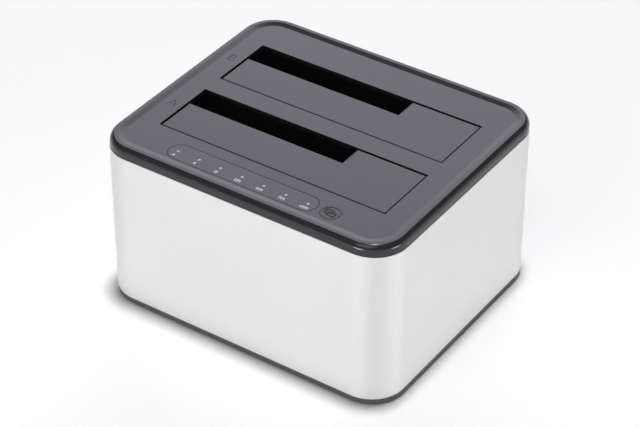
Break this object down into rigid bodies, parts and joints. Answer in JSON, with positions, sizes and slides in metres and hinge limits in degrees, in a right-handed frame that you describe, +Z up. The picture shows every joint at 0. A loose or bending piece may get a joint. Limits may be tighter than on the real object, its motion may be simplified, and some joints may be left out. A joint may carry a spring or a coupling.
{
  "type": "drive duplicator",
  "caption": "Free-standing dual-bay drive dock and duplicator: aluminium sleeve, black lid with sprung L-shaped bay flaps, indicator strip, round clone button and rear ports.",
  "frame": {"origin": "middle of the footprint, on the surface that the four feet stand on", "axes": "+X along the front face to its right, +Y from the front to the rear ports, +Z up"},
  "size_m": [0.1342, 0.114, 0.0754],
  "materials": {
    "cover_plastic": "fine textured black moulding, glossy rounded rim",
    "flap_plastic": "fine textured black moulding",
    "sleeve_aluminium": "satin anodised, very fine grain",
    "base_plastic": "fine textured black moulding",
    "foot_rubber": "soft matt rubber",
    "well_plastic": "plain black moulding",
    "port_plastic": "plain black moulding",
    "steel": "bright drawn steel",
    "screw_steel": "zinc plated",
    "board_laminate": "green solder resist",
    "chip_epoxy": "moulded epoxy",
    "coil_ferrite": "ferrite",
    "can_metal": "drawn cans",
    "connector_plastic": "moulded nylon",
    "shell_metal": "nickel plated",
    "usb_blue": "blue insulator",
    "switch_plastic": "glossy black moulding",
    "window_film": "dark printed inlay",
    "lamp_lens": "clear diffusing lens",
    "light_pipe": "clear acrylic",
    "button_plastic": "fine textured black moulding",
    "ribbon_film": "grey ribbon"
  },
  "bodies": {
    "chassis": {"top_cover": "cover_plastic", "metal_sleeve": "sleeve_aluminium", "base_tray": "base_plastic", "rubber_feet": "foot_rubber", "port_panel": "port_plastic", "bay_well_a": "well_plastic", "bay_well_b": "well_plastic", "hinge_pins_a": "steel", "hinge_pins_b": "steel", "sata_connector_a": "connector_plastic", "sata_connector_b": "connector_plastic", "main_board": "board_laminate", "board_screws": "screw_steel", "bridge_chip": "chip_epoxy", "support_chips": "chip_epoxy", "power_coils": "coil_ferrite", "clock_crystal": "can_metal", "capacitors": "can_metal", "usb_port_shell": "shell_metal", "usb_tongue": "usb_blue", "dc_jack": "switch_plastic", "dc_centre_pin": "shell_metal", "power_switch_body": "switch_plastic", "indicator_window": "window_film", "indicator_leds": "lamp_lens", "light_pipes": "light_pipe", "panel_board": "board_laminate", "push_switch_body": "chip_epoxy", "ribbon_sockets": "connector_plastic", "ribbon_cable": "ribbon_film", "base_screws": "screw_steel", "panel_screws": "screw_steel"},
    "flap_a": {"flap_a": "flap_plastic", "flap_spring_a": "steel"},
    "flap_b": {"flap_b": "flap_plastic", "flap_spring_b": "steel"},
    "clone_button": {"clone_button": "button_plastic", "push_switch_plunger": "switch_plastic"},
    "power_rocker": {"power_rocker": "switch_plastic"}
  },
  "joints": [
    {"name": "flap_a_hinge", "type": "hinge", "parent": "chassis", "child": "flap_a", "pos_m": [0, -0.03625, 0.07095], "axis": [-1, 0, 0], "range_deg": [0, 88], "stiffness_Nm_per_rad": 0.002, "springref_deg": -57.3},
    {"name": "flap_b_hinge", "type": "hinge", "parent": "chassis", "child": "flap_b", "pos_m": [0, 0.00325, 0.07095], "axis": [-1, 0, 0], "range_deg": [0, 88], "stiffness_Nm_per_rad": 0.002, "springref_deg": -57.3},
    {"name": "clone_button_press", "type": "slide", "parent": "chassis", "child": "clone_button", "axis": [0, 0, -1], "range_m": [0, 0.0005], "stiffness_N_per_m": 300, "springref_m": -0.001},
    {"name": "power_rocker_tilt", "type": "hinge", "parent": "chassis", "child": "power_rocker", "pos_m": [0.022, 0.0544, 0.022], "axis": [1, 0, 0], "range_deg": [0, 14]}
  ]
}
